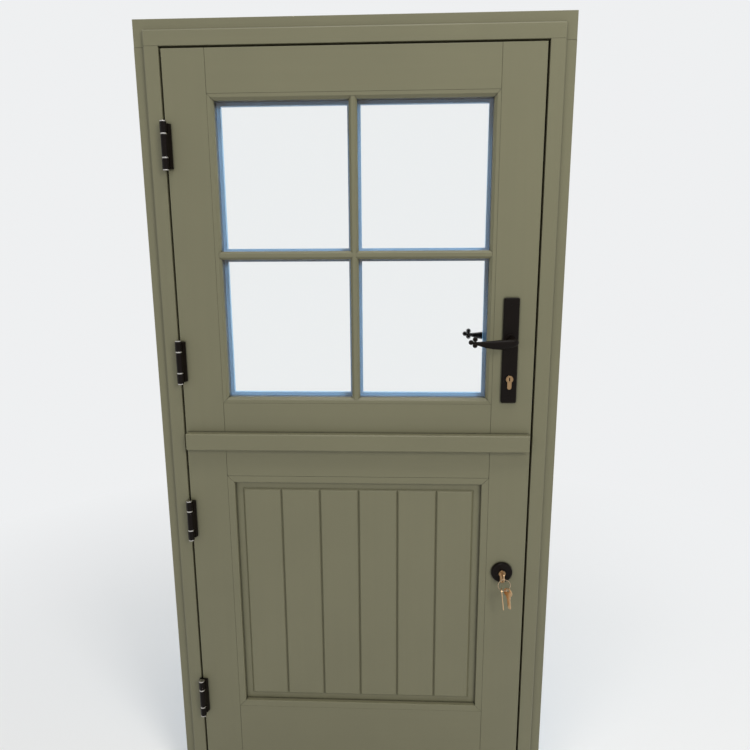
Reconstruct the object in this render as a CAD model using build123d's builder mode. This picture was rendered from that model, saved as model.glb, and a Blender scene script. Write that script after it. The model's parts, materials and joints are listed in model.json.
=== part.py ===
from build123d import *
from math import ceil, cos, radians, sin
import os

os.makedirs("parts", exist_ok=True)

# A stable door: two leaves, one above the other, hung on the left in a rebated timber
# frame. X runs right as seen from the room, Y runs from the room to the outside and Z up.
# The origin is on the underside of the sill, midway between the frame's two faces.

# Leaves
leaf_width = 833.0
leaf_thickness = 54.0
upper_leaf_height = 892.5
lower_leaf_height = 931.0
leaf_joint_gap = 4.0
stile_width = 95.5
upper_top_rail = 93.3
upper_bottom_rail = 101.5
lower_top_rail = 80.3
lower_bottom_rail = 201.0
arris_round = 1.2
tenon_length = 60.0
tenon_thickness = 18.0
tenon_shoulder = 12.0
mortise_clearance = 0.3

# Glazing of the upper leaf
outer_lip_width = 20.0
outer_lip_depth = 15.0
outer_lip_bevel = 6.0
glazing_bead_width = 13.5
glazing_bead_bevel = 6.0
mitre_joint = 0.3
pane_thickness = 4.0
setting_gap = 3.0
spacer_width = 9.0
spacer_depth = 16.0
glazing_bar_width = 18.5
outer_bar_width = 30.0
glazing_bar_front = 8.0
glazing_bar_setback = 1.0

# Raised panel of the lower leaf
panel_bead_width = 17.0
panel_bead_round = 2.0
panel_recess = 12.0
field_rise = 6.0
field_inset = 34.5
field_bevel = 5.0
board_width = 96.3
v_joint_width = 8.0
v_joint_depth = 4.0

# Strip that covers the joint between the leaves
strip_height = 41.5
strip_thickness = 20.0
strip_overlap = 13.0
strip_end_inset = 4.5
strip_relief = 1.0
strip_bevel = 2.5

# Frame
side_gap = 5.0
head_gap = 5.0
foot_gap = 6.0
frame_depth = 95.0
frame_face = 57.5
inner_band = 33.5
band_step = 12.0
shoulder_round = 4.0
stop_width = 14.0
seal_space = 4.0
seal_clearance = 0.3
seal_width = 9.0
seal_groove_depth = 5.0
seal_fin_width = 3.0
sill_height = 45.0
sill_nose = 35.0
sill_nose_height = 22.0
sill_slope_top = 34.0
sill_upstand = 17.0
sill_upstand_back = 5.0
drip_radius = 3.0
drip_inset = 9.0
frame_tenon_length = 36.0
frame_tenon_width = 30.0
frame_tenon_thickness = 16.0
fixing_hole_radius = 5.0
fixing_spacing = 1200.0
fixing_low = 350.0
fixing_depth = 68.0

# Hinges
hinge_projection = 16.0
hinge_axis_inset = 1.0
knuckle_radius = 7.25
pin_radius = 4.0
pin_clearance = 0.05
middle_knuckle = 47.0
end_knuckle = 23.0
hinge_washer = 3.0
washer_clearance = 0.3
pin_head_thickness = 2.5
hinge_plate_thickness = 2.5
hinge_plate_depth = 32.0
hinge_plate_height = 95.0
wrap_width = 12.5
wrap_thickness = 3.0
wedge_reach = 11.0
wedge_tip = 3.0
knuckle_clearance = 0.4
upper_hinge_from_end = 203.0
lower_hinge_from_top = 193.0
lower_hinge_from_foot = 233.5

# Furniture of the upper leaf
backset = 56.5
spindle_height = 256.0
spindle_to_cylinder = 92.0
spindle_size = 8.0
spindle_end = 26.0
plate_length = 246.0
plate_width = 35.0
plate_thickness = 8.0
plate_drop = 26.5
plate_corner = 3.0
plate_edge = 2.0
collar_radius = 13.0
collar_height = 3.0
neck_radius = 9.5
neck_end_radius = 6.8
neck_clearance = 0.35
neck_inset = 1.5
lever_projection = 52.0
lever_length = 101.0
lever_ball_radius = 5.6
lever_ball_spread = 7.0
lever_ball_setback = 9.0

# Cylinders, keys and escutcheons
cylinder_head_radius = 8.5
cylinder_stem_width = 10.0
cylinder_height = 33.0
cylinder_proud = 3.5
plug_radius = 6.5
plug_clearance = 0.05
plug_proud = 0.6
cam_width = 9.0
cam_gap = 10.0
cam_reach = 13.0
cam_clearance = 1.5
keyway_width = 2.5
keyway_height = 8.6
keyway_depth = 29.0
key_thickness = 2.1
key_blade_height = 8.0
key_blade_length = 27.0
key_bow_radius = 12.0
key_bow_reach = 17.0
key_hole_radius = 4.2
key_hole_shift = 6.0
key_shoulder = 3.0
spare_key_spread = 30.0
first_key_turn = -5.0
second_key_turn = 45.0
bunch_lean = 7.0
ring_radius = 15.0
ring_wire = 0.9
ring_wire_sides = 8
ring_lift = 0.9
spare_key_hang = 1.3
escutcheon_radius = 26.0
escutcheon_thickness = 9.0
rim_width = 4.5
rim_height = 4.0
rim_turns = (0, 30, 60, 90)
lower_cylinder_drop = 326.5

# Locks
lock_plate_width = 20.0
lock_plate_thickness = 3.0
lock_plate_above_foot = 80.0
lock_plate_below_top = 52.5
case_thickness = 16.0
case_depth = 78.0
case_above_spindle = 40.0
case_below_cylinder = 46.0
case_clearance = 1.0
bolt_clearance = 0.4
latch_height = 18.0
latch_thickness = 11.0
latch_length = 32.0
latch_below_spindle = 30.0
latch_stroke = 11.0
deadbolt_height = 30.0
deadbolt_thickness = 12.0
deadbolt_length = 34.0
deadbolt_below_cylinder = 8.0
deadbolt_above_cylinder = 40.0
hook_from_top = 189.0
hook_pivot_inset = 17.0
hook_reach = 33.0
hook_width = 13.0
hook_thickness = 6.0
hook_nose = 5.0
hook_case_depth = 34.0
hook_case_height = 96.0
hook_pivot_radius = 3.0
hook_slot_margin = 3.0
lower_case_height = 150.0
lower_plate_length = 190.0
keep_thickness = 3.0
keep_width = 24.0
keep_end = 18.0
keep_pocket_margin = 2.0
keep_pocket_depth = 24.0
keep_pocket_width = 16.0

# Screws
screw_head_radius = 3.6
screw_head_height = 2.4
screw_shank_radius = 1.9
screw_length = 24.0
screw_slot_width = 0.9
screw_slot_depth = 0.8
plate_screw_inset = 15.0
plate_screw_above_spindle = 18.5

# Places that follow from the sizes
room_face = -frame_depth / 2
leaf_back = room_face + leaf_thickness
leaf_middle = room_face + leaf_thickness / 2
outer_face = room_face + frame_depth
leaf_half = leaf_width / 2
wall_half = leaf_half + side_gap
frame_half = wall_half + frame_face
band_half = wall_half + inner_band
stop_half = wall_half - stop_width
stop_front = leaf_back + seal_space
lower_foot = sill_height + foot_gap
lower_top = lower_foot + lower_leaf_height
upper_foot = lower_top + leaf_joint_gap
upper_top = upper_foot + upper_leaf_height
head_line = upper_top + head_gap
frame_top = head_line + frame_face
aperture_half = leaf_half - stile_width
glass_low = upper_foot + upper_bottom_rail
glass_high = upper_top - upper_top_rail
panel_low = lower_foot + lower_bottom_rail
panel_high = lower_top - lower_top_rail
lip_front = leaf_back - outer_lip_depth
glass_front = lip_front - 2 * pane_thickness - spacer_depth
bead_depth = glass_front - room_face
hinge_x = -leaf_half + hinge_axis_inset
hinge_y = room_face - hinge_projection
handle_x = leaf_half - backset
spindle_z = upper_foot + spindle_height
cylinder_z = spindle_z - spindle_to_cylinder
lower_cylinder_z = lower_top - lower_cylinder_drop
hook_z = upper_top - hook_from_top
latch_z = spindle_z - latch_below_spindle
upper_deadbolt_z = cylinder_z - deadbolt_below_cylinder - deadbolt_height / 2 - cam_reach
lower_deadbolt_z = lower_cylinder_z + deadbolt_above_cylinder
upper_hinges = (upper_top - upper_hinge_from_end, upper_foot + upper_hinge_from_end)
lower_hinges = (lower_top - lower_hinge_from_top, lower_foot + lower_hinge_from_foot)
hinge_heights = upper_hinges + lower_hinges
pocket_top = middle_knuckle / 2 + hinge_washer + 2 * washer_clearance


def save(part, name):
    part.label = name
    export_step(part, f"parts/{name}.step")


def block(x_low, x_high, y_low, y_high, z_low, z_high, mode=Mode.ADD):
    """A square-cut length of timber or metal, or the pocket for one, between two corners."""
    middle = ((x_low + x_high) / 2, (y_low + y_high) / 2, (z_low + z_high) / 2)
    with Locations(middle):
        Box(x_high - x_low, y_high - y_low, z_high - z_low, mode=mode)


def facing_plane(x, y, z, outwards=1):
    """A plane across Y, looking to the room, or to the outside with outwards at -1."""
    return Plane(origin=(x, y, z), x_dir=(outwards, 0, 0), z_dir=(0, -outwards, 0))


# Frame

def jamb(side, keeps):
    """One upright of the frame: rebated for the leaf, with a stepped outer edge."""
    points = [
        (side * wall_half, room_face),
        (side * band_half, room_face),
        (side * band_half, room_face + band_step),
        (side * frame_half, room_face + band_step),
        (side * frame_half, outer_face),
        (side * stop_half, outer_face),
        (side * stop_half, stop_front),
        (side * wall_half, stop_front),
    ]
    groove_x = side * (wall_half - stop_width / 2)
    with BuildPart() as upright:
        with BuildSketch(Plane.XY.offset(sill_height)):
            with BuildLine():
                Polyline(points, close=True)
            make_face()
        extrude(amount=head_line - sill_height)
        shoulder = upright.edges().filter_by(Axis.Z).sort_by_distance(
            (side * band_half, room_face, head_line / 2))[0]
        fillet(shoulder, shoulder_round)
        arris = upright.edges().filter_by(Axis.Z).sort_by_distance(
            (side * wall_half, room_face, head_line / 2))[0]
        fillet(arris, arris_round)
        # Groove for the seal, tenon into the head and holes for the wall fixings
        block(groove_x - seal_fin_width / 2, groove_x + seal_fin_width / 2,
              stop_front, stop_front + seal_groove_depth,
              sill_height, head_line, Mode.SUBTRACT)
        tenon_x = side * (wall_half + frame_tenon_width)
        block(tenon_x - frame_tenon_width / 2, tenon_x + frame_tenon_width / 2,
              -frame_tenon_thickness / 2, frame_tenon_thickness / 2,
              head_line, head_line + frame_tenon_length)
        fixing_plane = Plane(origin=(0, room_face + fixing_depth, 0),
                             x_dir=(0, 1, 0), z_dir=(1, 0, 0))
        with BuildSketch(fixing_plane):
            with Locations((0, fixing_low), (0, fixing_low + fixing_spacing)):
                Circle(fixing_hole_radius)
        extrude(amount=side * frame_half, mode=Mode.SUBTRACT)
        if side < 0:
            for z in hinge_heights:
                block(-wall_half - hinge_plate_thickness, -wall_half,
                      room_face, room_face + hinge_plate_depth,
                      z - hinge_plate_height / 2, z + hinge_plate_height / 2, Mode.SUBTRACT)
        for low, high, pockets in keeps:
            block(wall_half, wall_half + keep_thickness,
                  leaf_middle - keep_width / 2, leaf_middle + keep_width / 2,
                  low, high, Mode.SUBTRACT)
            for thickness, pocket_low, pocket_high in pockets:
                block(wall_half, wall_half + keep_pocket_depth,
                      leaf_middle - keep_pocket_width / 2, leaf_middle + keep_pocket_width / 2,
                      pocket_low - keep_pocket_margin, pocket_high + keep_pocket_margin,
                      Mode.SUBTRACT)
    return upright.part


def laminated(upright):
    """The lock-side jamb as it is glued up: a backing board, a cheek on each side of the
    pockets, and the lengths of core between the pockets."""
    pocket_floor = Plane(origin=(wall_half + keep_pocket_depth, 0, 0), z_dir=(1, 0, 0))
    room_wall = Plane(origin=(0, leaf_middle - keep_pocket_width / 2, 0), z_dir=(0, 1, 0))
    outer_wall = Plane(origin=(0, leaf_middle + keep_pocket_width / 2, 0), z_dir=(0, 1, 0))
    board = split(upright, bisect_by=pocket_floor, keep=Keep.TOP)
    front = split(upright, bisect_by=pocket_floor, keep=Keep.BOTTOM)
    room_cheek = split(front, bisect_by=room_wall, keep=Keep.BOTTOM)
    behind = split(front, bisect_by=room_wall, keep=Keep.TOP)
    core = split(behind, bisect_by=outer_wall, keep=Keep.BOTTOM)
    outer_cheek = split(behind, bisect_by=outer_wall, keep=Keep.TOP)
    return Compound(board.solids() + room_cheek.solids() + core.solids() + outer_cheek.solids())


def keep_list():
    """Each keep's ends, and the bolts that enter it: thickness, low end and high end."""
    hook = (hook_thickness, hook_z - hook_reach, hook_z + hook_width / 2 + hook_nose)
    latch = (latch_thickness, latch_z - latch_height / 2, latch_z + latch_height / 2)
    upper_bolt = (deadbolt_thickness, upper_deadbolt_z - deadbolt_height / 2,
                  upper_deadbolt_z + deadbolt_height / 2)
    lower_bolt = (deadbolt_thickness, lower_deadbolt_z - deadbolt_height / 2,
                  lower_deadbolt_z + deadbolt_height / 2)
    upper = [
        (hook[1] - keep_end, hook[2] + keep_end, [hook]),
        (upper_bolt[1] - keep_end, latch[2] + keep_end, [latch, upper_bolt]),
    ]
    lower = [(lower_bolt[1] - keep_end, lower_bolt[2] + keep_end, [lower_bolt])]
    return upper, lower


def keep_plates(keeps):
    """Steel keeps let into the lock-side jamb, flush with its rebate."""
    with BuildPart() as plates:
        for low, high, pockets in keeps:
            block(wall_half, wall_half + keep_thickness,
                  leaf_middle - keep_width / 2, leaf_middle + keep_width / 2, low, high)
            for thickness, pocket_low, pocket_high in pockets:
                block(wall_half, wall_half + keep_thickness,
                      leaf_middle - thickness / 2 - keep_pocket_margin,
                      leaf_middle + thickness / 2 + keep_pocket_margin,
                      pocket_low - keep_pocket_margin, pocket_high + keep_pocket_margin,
                      Mode.SUBTRACT)
    return plates.part


upper_keeps, lower_keeps = keep_list()
save(jamb(-1, []), "hinge_jamb")
save(laminated(jamb(1, upper_keeps + lower_keeps)), "lock_jamb")
save(keep_plates(upper_keeps), "upper_keeps")
save(keep_plates(lower_keeps), "lower_keep")

with BuildPart() as head:
    block(-frame_half, frame_half, room_face + band_step, outer_face, head_line, frame_top)
    block(-band_half, band_half, room_face, room_face + band_step,
          head_line, head_line + inner_band)
    shoulders = head.edges().filter_by(Axis.X).sort_by_distance(
        (0, room_face, head_line + inner_band))[0:1]
    for side in (-1, 1):
        shoulders += head.edges().filter_by(Axis.Z).sort_by_distance(
            (side * band_half, room_face, head_line + inner_band / 2))[0:1]
    fillet(shoulders, shoulder_round)
    block(-stop_half, stop_half, stop_front, outer_face, head_line - stop_width, head_line)
    block(-stop_half, stop_half, stop_front, stop_front + seal_groove_depth,
          head_line - stop_width / 2 - seal_fin_width / 2,
          head_line - stop_width / 2 + seal_fin_width / 2, Mode.SUBTRACT)
    for side in (-1, 1):
        tenon_x = side * (wall_half + frame_tenon_width)
        block(tenon_x - frame_tenon_width / 2, tenon_x + frame_tenon_width / 2,
              -frame_tenon_thickness / 2, frame_tenon_thickness / 2,
              head_line, head_line + frame_tenon_length + mortise_clearance, Mode.SUBTRACT)
save(head.part, "frame_head")

with BuildPart() as sill:
    with BuildSketch(Plane.YZ.offset(-frame_half)):
        with BuildLine():
            Polyline((room_face, 0), (outer_face + sill_nose, 0),
                     (outer_face + sill_nose, sill_nose_height), (outer_face, sill_slope_top),
                     (outer_face, sill_height), (room_face, sill_height), close=True)
        make_face()
        with Locations((outer_face + sill_nose - drip_inset, 0)):
            Circle(drip_radius, mode=Mode.SUBTRACT)
    extrude(amount=2 * frame_half)
    with BuildSketch(Plane.YZ.offset(-stop_half)):
        with BuildLine():
            Polyline((stop_front, sill_height), (outer_face, sill_height),
                     (outer_face, sill_height + sill_upstand_back),
                     (stop_front + stop_width, sill_height + sill_upstand),
                     (stop_front, sill_height + sill_upstand), close=True)
        make_face()
    extrude(amount=2 * stop_half)
save(sill.part, "frame_sill")

with BuildPart() as seal:
    seal_front = leaf_back + seal_clearance
    for side in (-1, 1):
        x = side * (wall_half - stop_width / 2)
        block(x - seal_width / 2, x + seal_width / 2, seal_front, stop_front,
              sill_height + sill_upstand, head_line - stop_width / 2 - seal_width / 2)
        block(x - seal_fin_width / 2, x + seal_fin_width / 2,
              stop_front, stop_front + seal_groove_depth,
              sill_height + sill_upstand, head_line - stop_width / 2 - seal_width / 2)
    z = head_line - stop_width / 2
    block(-stop_half - seal_width, stop_half + seal_width, seal_front, stop_front,
          z - seal_width / 2, z + seal_width / 2)
    block(-stop_half, stop_half, stop_front, stop_front + seal_groove_depth,
          z - seal_fin_width / 2, z + seal_fin_width / 2)
save(seal.part, "frame_seal")


# Hinges: each has a plate on the jamb, a wrapped plate on the leaf, a pin and two washers

def knuckle(z_low, z_high, radius, mode=Mode.ADD):
    """A round stretch of the hinge barrel, or the hole through it."""
    with Locations((hinge_x, hinge_y, (z_low + z_high) / 2)):
        Cylinder(radius, z_high - z_low, mode=mode)


def frame_hinge_plate(z):
    """The jamb's half: a flat plate in the rebate that carries the two end knuckles."""
    plate_left = -wall_half - hinge_plate_thickness
    with BuildPart() as plate:
        block(plate_left, -wall_half, room_face, room_face + hinge_plate_depth,
              z - hinge_plate_height / 2, z + hinge_plate_height / 2)
        for end in (-1, 1):
            near = z + end * pocket_top
            far = near + end * end_knuckle
            low, high = min(near, far), max(near, far)
            block(plate_left, -wall_half, hinge_y, room_face, low, high)
            knuckle(low, high, knuckle_radius)
        knuckle(z - pocket_top - end_knuckle, z + pocket_top + end_knuckle,
                pin_radius + pin_clearance, Mode.SUBTRACT)
    return plate.part


def leaf_hinge_plate(z):
    """The leaf's half: let into the edge, wrapped over the face and up to the middle knuckle."""
    wrap_right = -leaf_half + wrap_width
    wedge_top = room_face - wedge_reach
    wedge_right = wrap_right - wedge_tip
    half_height = hinge_plate_height / 2
    with BuildPart() as plate:
        block(-leaf_half, -leaf_half + hinge_plate_thickness,
              room_face, room_face + hinge_plate_depth, z - half_height, z + half_height)
        with BuildSketch(Plane.XY.offset(z - half_height)):
            with BuildLine():
                Polyline((-leaf_half, room_face), (wrap_right, room_face),
                         (wrap_right, room_face - wrap_thickness),
                         (wedge_right, wedge_top), (-leaf_half, wedge_top), close=True)
            make_face()
        extrude(amount=hinge_plate_height)
        for end in (-1, 1):
            near = z + end * middle_knuckle / 2
            far = z + end * (half_height + end_knuckle)
            knuckle(min(near, far), max(near, far), knuckle_radius + knuckle_clearance,
                    Mode.SUBTRACT)
        with BuildSketch(Plane.XY.offset(z - middle_knuckle / 2)):
            with Locations((hinge_x, hinge_y)):
                Circle(knuckle_radius)
            with BuildLine():
                Polyline((hinge_x, hinge_y), (hinge_x + knuckle_radius, hinge_y),
                         (wedge_right, wedge_top), (-leaf_half, wedge_top), close=True)
            make_face()
        extrude(amount=middle_knuckle)
        knuckle(z - middle_knuckle / 2, z + middle_knuckle / 2,
                pin_radius + pin_clearance, Mode.SUBTRACT)
    return plate.part


barrel_half = pocket_top + end_knuckle
hinge_names = ["upper_leaf_top", "upper_leaf_lower", "lower_leaf_top", "lower_leaf_lower"]
for hinge_name, hinge_z in zip(hinge_names, hinge_heights):
    save(frame_hinge_plate(hinge_z), f"{hinge_name}_hinge_frame_plate")
    save(leaf_hinge_plate(hinge_z), f"{hinge_name}_hinge_leaf_plate")

with BuildPart() as hinge_pins:
    for hinge_z in hinge_heights:
        knuckle(hinge_z - barrel_half, hinge_z + barrel_half, pin_radius)
        knuckle(hinge_z + barrel_half, hinge_z + barrel_half + pin_head_thickness, knuckle_radius)
        knuckle(hinge_z - barrel_half - pin_head_thickness, hinge_z - barrel_half, knuckle_radius)
save(hinge_pins.part, "hinge_pins")

with BuildPart() as hinge_washers:
    for hinge_z in hinge_heights:
        for end in (-1, 1):
            near = hinge_z + end * (middle_knuckle / 2 + washer_clearance)
            far = near + end * hinge_washer
            knuckle(min(near, far), max(near, far), knuckle_radius)
            knuckle(min(near, far), max(near, far), pin_radius + pin_clearance, Mode.SUBTRACT)
save(hinge_washers.part, "hinge_washers")


# Timber of the leaves

def tenon_span(low, high):
    return low + tenon_shoulder, high - tenon_shoulder


def stile(side, low, high, opening_low, opening_high, hinges, cutouts):
    """An upright of a leaf, mortised for its rails, with the glazing or panel lip on it."""
    inner = side * aperture_half
    outer = side * leaf_half
    lip = side * (aperture_half - outer_lip_width)
    bevel = side * outer_lip_bevel
    with BuildPart() as upright:
        block(min(inner, outer), max(inner, outer), room_face, leaf_back, low, high)
        fillet(upright.edges().filter_by(Axis.Z).group_by(Axis.Y)[0], arris_round)
        with BuildSketch(Plane.XY.offset(opening_low)):
            with BuildLine():
                Polyline((inner, lip_front), (lip, lip_front), (lip, leaf_back - outer_lip_bevel),
                         (lip + bevel, leaf_back), (inner, leaf_back), close=True)
            make_face()
        extrude(amount=opening_high - opening_low)
        for rail_low, rail_high in ((low, opening_low), (opening_high, high)):
            mortise_low, mortise_high = tenon_span(rail_low, rail_high)
            reach = side * (aperture_half + tenon_length + mortise_clearance)
            block(min(inner, reach), max(inner, reach),
                  leaf_middle - tenon_thickness / 2, leaf_middle + tenon_thickness / 2,
                  mortise_low, mortise_high, Mode.SUBTRACT)
        for z in hinges:
            block(-leaf_half, -leaf_half + hinge_plate_thickness,
                  room_face, room_face + hinge_plate_depth,
                  z - hinge_plate_height / 2, z + hinge_plate_height / 2, Mode.SUBTRACT)
        for cutout in cutouts:
            add(cutout, mode=Mode.SUBTRACT)
    return upright.part


def rail(low, high, lip_side):
    """A cross piece of a leaf, tenoned at both ends. lip_side is 1 with its lip above it."""
    edge = high if lip_side > 0 else low
    lip = edge + lip_side * outer_lip_width
    lip_half = aperture_half - outer_lip_width
    with BuildPart() as cross:
        block(-aperture_half, aperture_half, room_face, leaf_back, low, high)
        fillet(cross.edges().filter_by(Axis.X).group_by(Axis.Y)[0], arris_round)
        with BuildSketch(Plane.YZ.offset(-lip_half)):
            with BuildLine():
                Polyline((lip_front, edge), (lip_front, lip), (leaf_back - outer_lip_bevel, lip),
                         (leaf_back, lip - lip_side * outer_lip_bevel), (leaf_back, edge),
                         close=True)
            make_face()
        extrude(amount=2 * lip_half)
        tenon_low, tenon_high = tenon_span(low, high)
        block(-aperture_half - tenon_length, aperture_half + tenon_length,
              leaf_middle - tenon_thickness / 2, leaf_middle + tenon_thickness / 2,
              tenon_low, tenon_high)
    return cross.part


def cylinder_outline(x, z, grow=0.0):
    """The profile of a door cylinder: a round head over a narrower stem."""
    foot = cylinder_height - cylinder_head_radius - cylinder_stem_width / 2
    with Locations((x, z)):
        Circle(cylinder_head_radius + grow)
    with Locations((x, z - foot / 2)):
        Rectangle(cylinder_stem_width + 2 * grow, foot)
    with Locations((x, z - foot)):
        Circle(cylinder_stem_width / 2 + grow)


def through_cut(z_spindle, z_cylinder):
    """The holes through a stile for the spindle and the cylinder."""
    with BuildPart() as cut:
        with BuildSketch(facing_plane(0, leaf_back, 0)):
            if z_spindle:
                with Locations((handle_x, z_spindle)):
                    Circle(neck_radius)
            cylinder_outline(handle_x, z_cylinder, case_clearance)
        extrude(amount=leaf_thickness)
    return cut.part


def pocket(depth, thickness, low, high):
    """A mortise cut into the lock edge of a leaf."""
    with BuildPart() as cut:
        block(leaf_half - depth, leaf_half, leaf_middle - thickness / 2,
              leaf_middle + thickness / 2, low, high)
    return cut.part


lock_strip_low = upper_foot + lock_plate_above_foot
lock_strip_high = upper_top - lock_plate_below_top
case_low = cylinder_z - case_below_cylinder - deadbolt_height / 2
case_high = spindle_z + case_above_spindle
hook_slot_below = hook_reach + hook_slot_margin
hook_slot_above = hook_width / 2 + hook_nose + hook_slot_margin
hook_case_low = hook_z - hook_case_height / 2
hook_case_high = hook_z + hook_case_height / 2
lower_case_low = lower_cylinder_z - cylinder_height
lower_case_high = lower_case_low + lower_case_height
lower_strip_low = (lower_case_low + lower_case_high - lower_plate_length) / 2
lower_strip_high = lower_strip_low + lower_plate_length
mortise_thickness = case_thickness + case_clearance

def screw_places():
    """Heights of the screws that hold a handle plate."""
    plate_middle = spindle_z - plate_drop
    half = plate_length / 2 - plate_screw_inset
    return plate_middle - half, spindle_z + plate_screw_above_spindle, plate_middle + half


def screw_holes():
    """The holes in the stile for the screws of both handle plates."""
    depth = screw_length - plate_thickness
    with BuildPart() as holes:
        for z in screw_places():
            for y in (room_face + depth / 2, leaf_back - depth / 2):
                with Locations(Location((handle_x, y, z), (90, 0, 0))):
                    Cylinder(screw_shank_radius, depth)
    return holes.part


upper_lock_cuts = [
    pocket(lock_plate_thickness, lock_plate_width, lock_strip_low, lock_strip_high),
    pocket(case_depth + case_clearance, mortise_thickness, case_low, case_high),
    pocket(hook_case_depth + case_clearance, mortise_thickness, hook_case_low, hook_case_high),
    through_cut(spindle_z, cylinder_z),
    screw_holes(),
]
lower_lock_cuts = [
    pocket(lock_plate_thickness, lock_plate_width, lower_strip_low, lower_strip_high),
    pocket(case_depth + case_clearance, mortise_thickness, lower_case_low, lower_case_high),
    through_cut(None, lower_cylinder_z),
]
save(stile(-1, upper_foot, upper_top, glass_low, glass_high, upper_hinges, []),
     "upper_hinge_stile")
save(stile(1, upper_foot, upper_top, glass_low, glass_high, [], upper_lock_cuts),
     "upper_lock_stile")
save(rail(glass_high, upper_top, -1), "upper_top_rail")
save(rail(upper_foot, glass_low, 1), "upper_bottom_rail")
save(stile(-1, lower_foot, lower_top, panel_low, panel_high, lower_hinges, []),
     "lower_hinge_stile")
save(stile(1, lower_foot, lower_top, panel_low, panel_high, [], lower_lock_cuts),
     "lower_lock_stile")
save(rail(panel_high, lower_top, -1), "lower_top_rail")
save(rail(lower_foot, panel_low, 1), "lower_bottom_rail")


# Beads, glass and glazing bars

def opening_sides(half, low, high, y):
    """Planes that run round an opening, inwards on their left, each with its length."""
    to_room = (0, -1, 0)
    return [
        (Plane(origin=(-half, y, low), x_dir=(1, 0, 0), z_dir=to_room), 2 * half),
        (Plane(origin=(half, y, low), x_dir=(0, 0, 1), z_dir=to_room), high - low),
        (Plane(origin=(half, y, high), x_dir=(-1, 0, 0), z_dir=to_room), 2 * half),
        (Plane(origin=(-half, y, high), x_dir=(0, 0, -1), z_dir=to_room), high - low),
    ]


def bead(plane, length, width, depth, bevel, rounded):
    """One mitred bead of an opening, its inner front edge bevelled or rounded."""
    with BuildPart() as strip:
        with BuildSketch(plane):
            with BuildLine():
                Polyline((mitre_joint, 0), (length - mitre_joint, 0),
                         (length - width - mitre_joint, width),
                         (width + mitre_joint, width), close=True)
            make_face()
        extrude(amount=depth)
        edge_middle = plane.from_local_coords((length / 2, width, depth))
        edge = strip.edges().sort_by_distance(edge_middle)[0]
        if rounded:
            fillet(edge, bevel)
        else:
            chamfer(edge, bevel)
    return strip.part


def bead_ring(half, low, high, y, width, depth, bevel, rounded):
    with BuildPart() as ring:
        for plane, length in opening_sides(half, low, high, y):
            add(bead(plane, length, width, depth, bevel, rounded))
    return ring.part


glazing_beads = bead_ring(aperture_half, glass_low, glass_high, glass_front,
                          glazing_bead_width, bead_depth, glazing_bead_bevel, False)
save(glazing_beads, "inner_glazing_beads")

glass_half = aperture_half - setting_gap
pane_low = glass_low + setting_gap
pane_high = glass_high - setting_gap
bar_x = 0.0
bar_z = (glass_low + glass_high) / 2
inner_spacer_y = glass_front + pane_thickness
outer_pane_y = inner_spacer_y + spacer_depth

with BuildPart() as inner_pane:
    block(-glass_half, glass_half, glass_front, inner_spacer_y, pane_low, pane_high)
save(inner_pane.part, "inner_pane")

with BuildPart() as outer_pane:
    block(-glass_half, glass_half, outer_pane_y, lip_front, pane_low, pane_high)
save(outer_pane.part, "outer_pane")

with BuildPart() as spacer:
    block(-glass_half, glass_half, inner_spacer_y, outer_pane_y, pane_low, pane_high)
    for x_low, x_high in ((-glass_half + spacer_width, bar_x - spacer_width / 2),
                          (bar_x + spacer_width / 2, glass_half - spacer_width)):
        for z_low, z_high in ((pane_low + spacer_width, bar_z - spacer_width / 2),
                              (bar_z + spacer_width / 2, pane_high - spacer_width)):
            block(x_low, x_high, inner_spacer_y, outer_pane_y, z_low, z_high, Mode.SUBTRACT)
save(spacer.part, "glass_spacer")


def glazing_bar(plane, length, width):
    """A glazing bar, flat on the glass and bevelled to a narrow front away from it."""
    depth = bead_depth - glazing_bar_setback
    slope = (glazing_bar_width - glazing_bar_front) / 2
    half_base = width / 2
    half_front = half_base - slope
    with BuildPart() as bar:
        with BuildSketch(plane):
            with BuildLine():
                Polyline((-half_base, 0), (half_base, 0), (half_base, depth - slope),
                         (half_front, depth), (-half_front, depth),
                         (-half_base, depth - slope), close=True)
            make_face()
        extrude(amount=length)
    return bar.part


def upright_bar(y, outwards, half_height, width):
    foot = Plane(origin=(bar_x, y, bar_z - half_height), x_dir=(-outwards, 0, 0), z_dir=(0, 0, 1))
    return glazing_bar(foot, 2 * half_height, width)


def level_bar(y, outwards, half_length, width):
    end = Plane(origin=(-half_length, y, bar_z), x_dir=(0, 0, outwards), z_dir=(1, 0, 0))
    return glazing_bar(end, 2 * half_length, width)


glass_half_height = (glass_high - glass_low) / 2
lip_half_width = aperture_half - outer_lip_width
lip_half_height = glass_half_height - outer_lip_width
inner_upright = upright_bar(glass_front, 1, glass_half_height, glazing_bar_width) - glazing_beads
inner_levels = level_bar(glass_front, 1, aperture_half, glazing_bar_width) - glazing_beads
inner_levels -= inner_upright
outer_upright = upright_bar(lip_front, -1, lip_half_height, outer_bar_width)
outer_levels = level_bar(lip_front, -1, lip_half_width, outer_bar_width) - outer_upright
save(inner_upright, "inner_upright_bar")
save(inner_levels, "inner_level_bars")
with BuildPart() as outer_bars:
    add(outer_upright)
    add(outer_levels)
save(outer_bars.part, "outer_glazing_bars")


# Raised panel and its beads

save(bead_ring(aperture_half, panel_low, panel_high, room_face + panel_recess,
               panel_bead_width, panel_recess, panel_bead_round, True),
     "panel_beads")


def raised_field(face, back_face, outwards, half, low, high):
    """The field that stands up from the panel's border, bevelled all round."""
    middle = (low + high) / 2
    with BuildSketch(facing_plane(0, back_face, middle, outwards)) as foot:
        Rectangle(2 * half, high - low)
    with BuildSketch(facing_plane(0, face, middle, outwards)) as top:
        Rectangle(2 * (half - field_bevel), high - low - 2 * field_bevel)
    loft([foot.sketch, top.sketch])


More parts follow.
